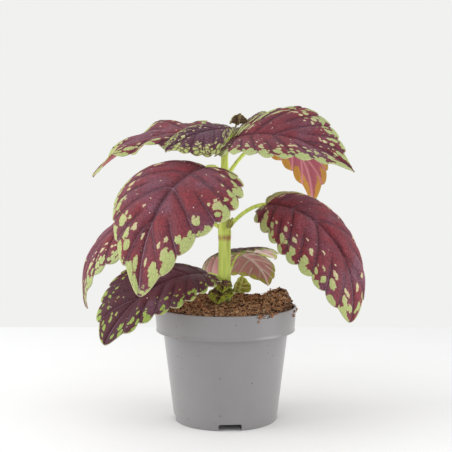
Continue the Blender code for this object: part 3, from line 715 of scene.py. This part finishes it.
# %% The under face
def pale_face(name, flesh, glow, vein, green=0.0):
    """The under face of a leaf, pink within and glowing or green towards the margin."""
    material, shader, add = new_material(name)
    place = add("TexCoord")
    edge, rib = (add("Attribute", attribute_name=key) for key in ("edge", "rib"))
    ragged = add("TexNoise", Scale=260.0, Detail=3.0, Roughness=0.6, Vector=place)
    field = add("Math", ragged, 12.0, edge, operation="MULTIPLY_ADD")
    skin = add("Mix", add("MapRange", field, 5.0 - green, 8.0 - green), flesh, glow)
    net_map = add("Mapping", place.outputs["UV"], Scale=(MAP_UNIT / NET_STEP, 5.0, 1))
    net_cells = add(
        "TexVoronoi", net_map, voronoi_dimensions="2D", feature="DISTANCE_TO_EDGE", Scale=1.0)
    netted = add("Mix", add("MapRange", net_cells, 0.0, 0.12, 0.35, 0.0), skin, vein)
    colour = add("Mix", add("Math", rib, 2.6, operation="POWER"), netted, vein)
    bump = add("Bump", Strength=0.5, Distance=0.0004, invert=True, Height=net_cells)
    set_node(shader, Base_Color=colour, Normal=bump, Roughness=0.6, Specular_IOR_Level=0.35)
    return material


UPPER = {
    "velvet": velvet_face("red velvet leaf", "#8C363D", "#773A46", "#A9B372", "#CDBA9A"),
    "flecked": velvet_face(
        "flecked velvet leaf", "#8A353D", "#763946", "#A9B578", "#D6C2A4", flecks=0.02,
        crowd=1.45),
    # A darker copy of the velvet, as painted shade for the lowest leaves, with fewer flecks
    "shaded": velvet_face(
        "dark velvet leaf with painted shade", "#5E2F36", "#4E303A", "#90A650", "#A8A468", teeth=-1.6,
        flecks=-0.11, crowd=1.4),
    "netted": velvet_face(
        "netted young leaf", "#6A3A4A", "#50324A", "#A8B06A", "#C8C294", flecks=0.11,
        net=0.95, net_step=6.0, net_width=0.26),
    "bud": velvet_face(
        "dark bud leaf", "#6A4638", "#4A343C", "#A09C48", "#B0A468", teeth=1.5, net=0.5),
    "olive": velvet_face(
        "olive shoot leaf", "#8E7C36", "#6A5844", "#A6B83A", "#B8B850", teeth=3.5, flecks=0.25,
        net=0.4),
}
UNDER = {
    "dusty": pale_face("dusty pink under face", "#C88A98", "#C4CC68", "#EAD2C8", green=7.0),
    "backlit": pale_face("backlit pink under face", "#F0B0B0", "#E2E46A", "#FFFAEE", green=7.0),
    "glowing": pale_face("glowing under face", "#BC6074", "#D8A83C", "#E494A2", green=4.0),
    # Orange patches of painted glow, as where light shines through the blade
    "orange_glow": pale_face("patchy orange painted glow under face", "#B86070", "#D09E34", "#E098A0", green=8.0),
    "olive": pale_face("olive under face", "#A09840", "#BCD048", "#D0D680", green=4.0),
    "bud": pale_face("dark bud under face", "#5C4438", "#8C8C3C", "#86744E"),
}

# %% All the leaves
for number, (name, leaf) in enumerate(LEAVES.items()):
    finishes = (UPPER[leaf.upper], UNDER[leaf.under])
    blade = make_blade(name + "_blade", leaf, number, finishes)
    finish_piece(blade, "leaf", name)

# %% [markdown]
# ## Stem and stalks
# The stem is square with a groove down each side, which marks the whole mint family. It
# swells where each pair of stalks leaves it. Each stalk curves out of the stem and runs into
# its midrib. Tubes for all of them are laid out first, then a voxel remesh melts them into
# one skin with soft fillets at the joints, as they are grown together on the plant.

# %% Stem shape
STEM = (
    (72.3, -0.6, 0.0, 5.2),      # height, offset from the axis and radius
    (92.0, -0.6, 0.0, 5.7),
    (108.0, -0.9, 0.0, 5.9),
    (114.0, -1.0, 0.0, 6.3),
    (121.0, -1.0, 0.0, 6.0),
    (150.0, -0.8, 0.0, 5.6),
    (159.0, -0.8, 0.0, 6.2),
    (166.0, -0.8, 0.0, 5.0),
    (196.0, -0.6, 0.0, 4.3),
    (203.0, -0.5, 0.0, 5.0),
    (210.0, -0.7, 0.0, 3.7),
    (222.0, -0.9, 0.0, 3.2),
    (228.0, -0.6, 0.8, 4.0),
    (234.0, 1.2, 3.4, 2.8),
    (240.0, 4.4, 7.0, 2.2),
    (244.0, 7.0, 9.0, 2.2),
    (247.0, 8.4, 9.8, 1.4),
)
STEM_SQUARENESS = 0.07
STEM_GROOVE = 0.05           # depth of the groove down each side, as a share of the radius
VOXEL = 0.42
STALK_END = 0.4              # how far a stalk runs past the start of its blade
STALK_FLARE = 0.25           # how much wider it is at the stem


def unit(vectors):
    return vectors / np.linalg.norm(vectors, axis=-1, keepdims=True)


def close_tube(tube):
    """Merge a tube's seam and cap its ends."""
    edit_mesh(tube, WELD, (bpy.ops.mesh.fill_holes, {"sides": 0}), FACE_OUT)
    return tube


def lay_stem(around, up):
    """Points of the square, grooved stem."""
    heights = [s[0] for s in STEM]
    z = heights[0] + (heights[-1] - heights[0]) * up
    x, y, radius = (np.interp(z, heights, [s[k] for s in STEM]) for k in (1, 2, 3))
    a = 2 * math.pi * around
    groove = np.exp(-((np.abs((4 * around + 0.5) % 1 - 0.5)) / 0.12) ** 2)
    radius = radius * (1 - STEM_SQUARENESS * np.cos(4 * a) - STEM_GROOVE * groove)
    return np.stack([x + radius * np.cos(a), y + radius * np.sin(a), z], axis=1)


def lay_stalk(leaf):
    """A rule for the points of one stalk, from the stem to its blade's midrib."""
    points, forwards, lefts, ups, _ = midrib_frame(leaf)
    root = np.array(leaf.root, float)
    end = points[0] + forwards[0] * STALK_END
    reach = np.linalg.norm(end - root)
    outward = unit(np.array([forwards[0][0], forwards[0][1], 0.0]))
    start_pull = reach * (0.8 * outward + np.array([0.0, 0.0, 0.9]))
    end_pull = reach * forwards[0]

    def lay(around, up):
        t = up[:, None]
        centre = (2 * t ** 3 - 3 * t ** 2 + 1) * root + (t ** 3 - 2 * t ** 2 + t) * start_pull
        centre = centre + (3 * t ** 2 - 2 * t ** 3) * end + (t ** 3 - t ** 2) * end_pull
        slope = (6 * t * t - 6 * t) * root + (3 * t * t - 4 * t + 1) * start_pull
        ahead = unit(slope + (6 * t - 6 * t * t) * end + (3 * t * t - 2 * t) * end_pull)
        side = unit(lefts[0] - ahead * (ahead @ lefts[0])[:, None])
        over = np.cross(ahead, side)
        radius = leaf.stalk * (1 + STALK_FLARE - STALK_FLARE * np.minimum(t * 3, 1))
        a = 2 * math.pi * around[:, None]
        return centre + (side * np.cos(a) + over * np.sin(a)) * radius

    return lay


tubes = [close_tube(formed_grid("stem_skin", 32, 120, lay_stem))]
for name, leaf in LEAVES.items():
    tubes.append(close_tube(formed_grid("stalk_" + name, 16, 24, lay_stalk(leaf))))
bpy.ops.object.select_all(action="DESELECT")
for tube in tubes:
    tube.select_set(True)
stem = tubes[0]
bpy.context.view_layer.objects.active = stem
bpy.ops.object.join()
apply_modifier(stem, "REMESH", mode="VOXEL", voxel_size=VOXEL * MM)
apply_modifier(stem, "SMOOTH", factor=0.5, iterations=4)
stem.data.shade_smooth()

# %% [markdown]
# The stem is soft green flesh under a thin skin, pale yellow-green where it is lit, with
# painted shade darkening its foot. Brown corky streaks run up it, and the joint under the
# second pair of leaves has a reddish ring. Fine down on its skin catches the light.

# %% Stem finish
SHADED_BELOW = 0.114         # heights in metres, as the material reads them
PURPLE_ABOVE = 0.238
RING_HEIGHT = 0.1545

material, shader, add = new_material("soft green stem")
place = add("TexCoord")
height = add("SeparateXYZ", place)
long_grain = add("Mapping", place, Scale=(1.0, 1.0, 0.08))
grain = add("TexNoise", Scale=700.0, Detail=3.0, Vector=long_grain)
colour = add("Mix", grain, "#AEDA36", "#F6FF94")
cork = add("TexNoise", Scale=260.0, Detail=4.0, Vector=long_grain)
colour = add("Mix", add("MapRange", cork, 0.54, 0.68, 0.0, 0.5), colour, "#8A7440")
# Painted shade: the foot of the stem, among the lowest leaves, is darkened
low = add("MapRange", height, SHADED_BELOW, 0.098, 0.0, 0.75)
colour = add("Mix", low, colour, "#5A5A2C")
high = add("MapRange", height, PURPLE_ABOVE, 0.245, 0.0, 0.85)
colour = add("Mix", high, colour, "#58404C")
over_ring = add("Math", height, RING_HEIGHT, operation="SUBTRACT")
from_ring = add("Math", over_ring, operation="ABSOLUTE")
ring = add("MapRange", from_ring, 0.0, 0.0035, 1.5, 0.0)
colour = add("Mix", add("Math", ring, cork, operation="MULTIPLY"), colour, "#A0603C")
down = add("Bump", Strength=0.5, Distance=0.0003, Height=grain)
set_node(shader, Base_Color=colour, Normal=down, Roughness=0.45, Sheen_Weight=0.1)
finish_piece(stem, "stem", "stem", finish=material)

# %% [markdown]
# ## Pot
# A nursery pot is drawn from one hot plastic sheet over a mould: a thin wall that tapers, a
# deeper band round the rim that keeps stacked pots apart, and channels under the base that
# lead the water out. The full body and the room inside are each turned from a section with
# the spin operator. Bars cut from the room leave the humps over the channels, then the room,
# the channels and the drains are cut from the body with Booleans.

# %% Pot shape
RIM_RADIUS = 60.0
RIM_HEIGHT = 96.3
BAND_LOW_RADIUS = 58.6
BAND_LOW_HEIGHT = 76.0
NECK_RADIUS = 52.9
BASE_RADIUS = 43.7
WALL = 1.2
CHANNEL_WIDTH = 19.0
CHANNEL_HEIGHT = 5.6
CHANNEL_START = 18.0
CHANNEL_TURN = -85.0
DRAIN_RADIUS = 4.0
DRAIN_DISTANCE = 30.0
BEAD = 0.6                   # how far the band's lower edge flares
BEAD_HEIGHT = 2.2
CORNER = 1.0                 # radius of the corners
LOW_RING = 12.0              # a ring above the channels keeps the wall's shading even
POT_STEPS = 144
TOOL_LENGTH = 60.0           # of the bars that cut the channels
TOOL_PAST = 4.0              # how far a cutting shape reaches past what it cuts
CHANNEL_BEVEL = 1.6


def turned(name, section, steps):
    """Spin a section of (radius, height) points about the Z axis into a closed skin."""
    bpy.ops.mesh.primitive_plane_add(size=1)
    obj = bpy.context.object
    obj.name = name
    bpy.ops.object.mode_set(mode="EDIT")
    bpy.ops.mesh.select_all(action="SELECT")
    bpy.ops.mesh.delete(type="VERT")
    bpy.ops.object.mode_set(mode="OBJECT")
    obj.data.vertices.add(len(section))
    for vertex, (radius, height) in zip(obj.data.vertices, section):
        vertex.co = (radius * MM, 0, height * MM)
    obj.data.edges.add(len(section) - 1)
    for i, edge in enumerate(obj.data.edges):
        edge.vertices = (i, i + 1)
    edit_mesh(
        obj,
        (bpy.ops.mesh.spin, {"steps": steps, "angle": 2 * math.pi, "center": (0, 0, 0),
                             "axis": (0, 0, 1)}))
    edit_mesh(obj, WELD, FACE_OUT)
    return obj


def rounded(section, radius, count=4):
    """A section with its inner corners rounded off."""
    points = [np.array(p, float) for p in section]
    out = [points[0]]
    for before, corner, after in zip(points, points[1:], points[2:]):
        back, on = before - corner, after - corner
        cut = min(radius, 0.45 * np.linalg.norm(back), 0.45 * np.linalg.norm(on))
        a, b = corner + unit(back) * cut, corner + unit(on) * cut
        for t in np.linspace(0, 1, count):
            out.append((1 - t) ** 2 * a + 2 * t * (1 - t) * corner + t * t * b)
    return out + [points[-1]]


def channel_box(name, margin, top):
    """A round-topped bar from CHANNEL_START outwards, the room of one drain channel."""
    bpy.ops.mesh.primitive_cube_add(size=1)
    box = bpy.context.object
    box.name = name
    size = (TOOL_LENGTH, CHANNEL_WIDTH + 2 * margin, top + TOOL_PAST)
    middle = (CHANNEL_START - margin + size[0] / 2, 0, top - size[2] / 2)
    edit_mesh(
        box,
        (bpy.ops.transform.resize, {"value": [v * MM for v in size]}),
        (bpy.ops.transform.translate, {"value": [v * MM for v in middle]}),
        (bpy.ops.mesh.bevel, {"offset": CHANNEL_BEVEL * MM, "segments": 3, "affect": "EDGES"}))
    return box


def cut(obj, cutter, turn):
    """Cut a turned copy of the cutter out of an object."""
    cutter.rotation_euler.z = math.radians(turn)
    bpy.context.view_layer.update()
    apply_modifier(obj, "BOOLEAN", operation="DIFFERENCE", solver="EXACT", object=cutter)


low_radius = BASE_RADIUS + (NECK_RADIUS - BASE_RADIUS) * LOW_RING / BAND_LOW_HEIGHT
body = rounded([
    (0, 0), (BASE_RADIUS, 0), (low_radius, LOW_RING), (NECK_RADIUS, BAND_LOW_HEIGHT),
    (BAND_LOW_RADIUS + BEAD, BAND_LOW_HEIGHT), (BAND_LOW_RADIUS, BAND_LOW_HEIGHT + BEAD_HEIGHT),
    (RIM_RADIUS, RIM_HEIGHT), (RIM_RADIUS - WALL, RIM_HEIGHT), (0, RIM_HEIGHT)], CORNER)
room = rounded([
    (0, RIM_HEIGHT + TOOL_PAST), (RIM_RADIUS - WALL, RIM_HEIGHT + TOOL_PAST),
    (RIM_RADIUS - WALL, RIM_HEIGHT), (BAND_LOW_RADIUS - WALL, BAND_LOW_HEIGHT + WALL),
    (NECK_RADIUS - WALL, BAND_LOW_HEIGHT + WALL), (BASE_RADIUS - WALL, WALL), (0, WALL)],
    CORNER)
pot = turned("pot_shell", body, POT_STEPS)
inside = turned("pot_room", room, POT_STEPS)
hump = channel_box("hump_tool", WALL, CHANNEL_HEIGHT + WALL)
channel = channel_box("channel_tool", 0.0, CHANNEL_HEIGHT)
bpy.ops.mesh.primitive_cylinder_add(vertices=32, radius=DRAIN_RADIUS * MM, depth=20 * MM)
drain = bpy.context.object
edit_mesh(drain, (bpy.ops.transform.translate, {"value": (DRAIN_DISTANCE * MM, 0, 0)}))
for i in range(4):
    cut(inside, hump, CHANNEL_TURN + 90 * i)
cut(pot, inside, 0)
for tool in (channel, drain):
    for i in range(4):
        cut(pot, tool, CHANNEL_TURN + 90 * i)
for tool in (inside, hump, channel, drain):
    bpy.data.objects.remove(tool)
edit_mesh(pot, (bpy.ops.mesh.remove_doubles, {"threshold": 0.00002}))
bpy.ops.object.shade_smooth_by_angle(angle=math.radians(40))

# %% [markdown]
# The plastic is a plain mid grey with a satin gloss. It was handled with wet peat, so it
# carries faint smears and small dark specks, which are larger just under the rim band.

# %% Pot finish
LEDGE_HEIGHT = 0.0745        # in metres, just under the band, where the specks are largest

material, shader, add = new_material("satin grey thermoformed plastic")
place = add("TexCoord")
smears = add("TexNoise", Scale=60.0, Detail=5.0, Roughness=0.6, Vector=place)
grey = add("Mix", smears, "#7E7C7D", "#888688")
specks = add("TexVoronoi", Scale=230.0, Randomness=1.0, Vector=place)
rare = add("SeparateColor", specks.outputs["Color"])
size = add("MapRange", rare, 0.7, 1.0, 0.0, 0.17)
over_ledge = add("Math", add("SeparateXYZ", place), LEDGE_HEIGHT, operation="SUBTRACT")
from_ledge = add("Math", over_ledge, operation="ABSOLUTE")
gather = add("MapRange", from_ledge, 0.0, 0.003, 2.6, 1.0)
gathered = add("Math", size, gather, operation="MULTIPLY")
speckled = add("Mix", add("Math", specks, gathered, operation="LESS_THAN"), grey, "#5C544E")
gloss = add("MapRange", smears, 0.0, 1.0, 0.26, 0.4)
ripple = add("Bump", Strength=0.15, Distance=0.0005, Height=smears)
set_node(
    shader, Base_Color=speckled, Roughness=gloss, Normal=ripple, Specular_IOR_Level=0.8,
    Sheen_Weight=0.1)
finish_piece(pot, "pot", "pot", finish=material)

# %% [markdown]
# ## Peat
# Potting peat is a loose brown mix of short fibres, fine crumbs and a few white grains of
# perlite. Its top is a fine grid, laid on the same mound and heap as the solid and roughened
# at four sizes, from clods to grains. The crumbs, fibres and grains that break its outline are
# modelled, because the eye reads loose soil from them.

# %% Peat body
SOIL_EDGE = 94.8
SOIL_DIP = 2.6               # how far the peat sinks beside the wall
DIP_START = 54.0
DIP_WIDTH = 3.5
SOIL_MOUND = 5.2
MOUND_RADIUS = 34.0
SOIL_BACK = 3.5              # how much higher it lies at the back
CLODS, LUMPS, GRAINS, FINE = 0.9, 0.7, 1.4, 0.8     # heights of its roughness
HEAP = (47.0, 17.0)
HEAP_HEIGHT = 11.0
HEAP_RADIUS = 15.0
SOIL_RADIUS = 58.2
SOIL_DEPTH = 12.0
SOIL_RINGS = 84
SOIL_TOP = 0.93              # share of the rings that make the top, before it turns down
SOIL_TAPER = 0.02            # how much its edge narrows with the wall
SOIL_STEPS = 300


def soil_height(x, y):
    """Height of the peat in millimetres, with its clods and crumbs."""
    height = SOIL_EDGE + SOIL_MOUND * math.exp(-(x * x + y * y) / MOUND_RADIUS ** 2)
    height += SOIL_BACK * min(max((y + 5.0) / 45.0, 0.0), 1.0)
    spread = math.hypot(x - HEAP[0], y - HEAP[1])
    height += HEAP_HEIGHT * math.exp(-(spread / HEAP_RADIUS) ** 2)
    height -= SOIL_DIP * min(max((math.hypot(x, y) - DIP_START) / DIP_WIDTH, 0.0), 1.0) ** 2
    clods = math.sin(0.31 * x + 0.22 * y + 1.0) * math.sin(0.27 * y - 0.18 * x)
    lumps = math.sin(0.83 * x + 1.3) * math.sin(0.79 * y + 0.4)
    grains = noise.noise((x / 1.6, y / 1.6, 3.0))
    fine = noise.noise((x / 0.8, y / 0.8, 9.0))
    return height + CLODS * clods + LUMPS * lumps + GRAINS * grains + FINE * fine


def lay_soil(around, up):
    """Points of the peat: its top from the stem outwards, then its edge down the wall."""
    radius = SOIL_RADIUS * np.minimum(up / SOIL_TOP, 1.0)
    a = 2 * math.pi * around
    x, y = radius * np.cos(a), radius * np.sin(a)
    z = np.array([soil_height(p, q) for p, q in zip(x, y)])
    under = np.clip((up - SOIL_TOP) / (1 - SOIL_TOP), 0, 1)
    narrow = 1 - SOIL_TAPER * under
    return np.stack([x * narrow, y * narrow, z - SOIL_DEPTH * under], axis=1)


peat = close_tube(formed_grid("peat_top", SOIL_STEPS, SOIL_RINGS, lay_soil))
peat.data.shade_smooth()

# %% Peat finish
peat_finish, shader, add = new_material("fibrous brown peat")
place = add("TexCoord")
coarse = add("TexNoise", Scale=330.0, Detail=5.0, Roughness=0.75, Vector=place)
brown = add("Mix", add("MapRange", coarse, 0.46, 0.565), "#1A0E08", "#E6BC8E")
bits = add("TexVoronoi", Scale=620.0, Vector=place)
bit_chance = add("SeparateColor", bits.outputs["Color"])
tone = add("Mix", add("MapRange", bit_chance, 0.66, 0.84, 0.0, 0.8), brown, "#C49668")
# Painted shade: the peat darkens towards the pot wall, where the rim shades it
flat = add("VectorMath", place, (1.0, 1.0, 0.0), operation="MULTIPLY")
from_axis = add("VectorMath", flat, operation="LENGTH")
wall_shade_share = add("MapRange", from_axis.outputs["Value"], 0.048, 0.055, 0.0, 0.75)
wall_shaded = add("Mix", wall_shade_share, tone, "#2A1A14")
rough = add("Bump", Strength=1.0, Distance=0.0012, Height=coarse)
set_node(shader, Base_Color=wall_shaded, Normal=rough, Roughness=0.95)
finish_piece(peat, "soil", "soil", finish=peat_finish)

# %% [markdown]
# Crumbs are small rough balls, each knocked out of round in its own way. Fibres are thin
# bent tubes that lie on the peat or stand up from it. Both are scattered by a seeded
# generator, so that they fall the same way every time.

# %% Crumbs, fibres and perlite
STEM_CLEAR = 7.0
LOOSE_REACH = 57.0           # how far from the axis the loose bits lie
RIM_CLUMPS = (-61.6, -52.2)  # where round the rim most of its peat is stuck, in degrees
RIM_SKIN = 60.2
FIBRE_STEPS = 6
FIBRE_SIDES = 5
scatter = np.random.default_rng(7)


def scattered(name, count, make):
    """Join many small shapes into one piece. make() gives points and faces in millimetres."""
    points, faces = [], []
    for _ in range(count):
        own_points, own_faces = make()
        faces += [[k + len(points) for k in face] for face in own_faces]
        points += [tuple(p * MM) for p in own_points]
    mesh = bpy.data.meshes.new(name)
    mesh.from_pydata(points, [], faces)
    mesh.validate()
    obj = bpy.data.objects.new(name, mesh)
    bpy.context.scene.collection.objects.link(obj)
    return obj


bpy.ops.mesh.primitive_ico_sphere_add(subdivisions=1, radius=1)
ball = bpy.context.object
BALL_POINTS = np.array([v.co for v in ball.data.vertices])
BALL_FACES = [list(face.vertices) for face in ball.data.polygons]
bpy.data.objects.remove(ball)


def spot_on_peat():
    """A point on the peat, clear of the stem."""
    while True:
        x, y = scatter.uniform(-LOOSE_REACH, LOOSE_REACH, 2)
        if STEM_CLEAR < math.hypot(x, y) < LOOSE_REACH + 0.5:
            return np.array([x, y, soil_height(x, y)])


def spot_on_rim():
    """A point outside the rim, where wet peat has stuck: most of it in two clumps in front."""
    if scatter.uniform() < 0.75:
        clump = RIM_CLUMPS[0] if scatter.uniform() < 0.55 else RIM_CLUMPS[1]
        a, z = math.radians(clump + scatter.normal(0, 1.7)), 96.4 - abs(scatter.normal(0, 2.0))
    else:
        a, z = math.radians(scatter.uniform(-25, 15)), scatter.uniform(89, 98)
    return np.array([RIM_SKIN * math.cos(a), RIM_SKIN * math.sin(a), z])


def crumb(size_low, size_high, spot):
    """A rule for crumbs between two sizes on spots that spot() chooses."""
    def make():
        size = scatter.uniform(size_low, size_high)
        knocks = scatter.uniform(0.55, 1.35, (len(BALL_POINTS), 1))
        squash = scatter.uniform(0.6, 1.3, 3)
        lift = np.array([0, 0, 0.3 * size])
        return BALL_POINTS * knocks * squash * size + spot() + lift, BALL_FACES
    return make


def fibre():
    """A thin tube along a bent line."""
    start = spot_on_peat()
    heading = scatter.uniform(0, 2 * math.pi)
    rise = scatter.uniform(-0.1, 0.7)
    length = scatter.uniform(3, 9)
    radius = scatter.uniform(0.13, 0.28)
    bow = scatter.uniform(-1.2, 1.2)
    end = start[:2] + length * np.array([math.cos(heading), math.sin(heading)])
    if np.hypot(*end) > LOOSE_REACH:     # one that would leave the pot is turned round
        heading += math.pi
    points, faces = [], []
    for i in range(FIBRE_STEPS + 1):
        t = i / FIBRE_STEPS
        a = heading + bow * t
        centre = start + length * t * np.array([
            math.cos(a), math.sin(a), rise * (1 - 0.8 * t)])
        for k in range(FIBRE_SIDES):
            b = 2 * math.pi * k / FIBRE_SIDES
            off = np.array([-math.sin(a) * math.cos(b), math.cos(a) * math.cos(b), math.sin(b)])
            points.append(centre + off * radius * (1 - 0.5 * t))
    rings = np.arange(len(points)).reshape(-1, FIBRE_SIDES).tolist()
    for ring, after in zip(rings, rings[1:]):
        for k in range(FIBRE_SIDES):
            j = (k + 1) % FIBRE_SIDES
            faces.append([ring[k], ring[j], after[j], after[k]])
    return points, faces + [rings[0][::-1], rings[-1]]


def loose_finish(name, dark, light, roughness):
    """A matt finish for loose bits, which drifts between two colours every 2 mm or so."""
    material, shader, add = new_material(name)
    drift = add("TexNoise", Scale=480.0, Detail=2.0, Vector=add("TexCoord"))
    colour = add("Mix", add("MapRange", drift, 0.38, 0.62), dark, light)
    set_node(shader, Base_Color=colour, Roughness=roughness)
    return material


# Perlite gives the few white glints, straw the pale threads, bark chips the warm red-brown
# between them, and humus the dark gaps.
pale = loose_finish("white perlite", "#C4BAAC", "#E8E2D8", 0.9)
straw = loose_finish("dry straw fibre", "#A67C54", "#E6C49C", 0.8)
rust = loose_finish("rust brown bark chip", "#7A4E32", "#B9845C", 0.9)
humus = loose_finish("dark humus crumb", "#28180F", "#50362A", 0.95)
for name, count, make, wear in (
        ("peat_crumbs", 1500, crumb(0.4, 1.3, spot_on_peat), peat_finish),
        ("dark_crumbs", 600, crumb(0.4, 1.1, spot_on_peat), humus),
        ("rim_crumbs", 40, crumb(0.4, 1.2, spot_on_rim), rust),
        ("rim_specks", 24, crumb(0.3, 0.8, spot_on_rim), humus),
        ("peat_fibres", 520, fibre, straw),
        ("rust_fibres", 420, fibre, rust),
        ("rust_chips", 520, crumb(0.3, 0.9, spot_on_peat), rust),
        ("tan_chips", 380, crumb(0.3, 0.8, spot_on_peat), straw),
        ("perlite_grains", 90, crumb(0.35, 0.8, spot_on_peat), pale)):
    finish_piece(scattered(name, count, make), "soil", finish=wear)

# %% Count the pieces
print("pieces:", len(made))
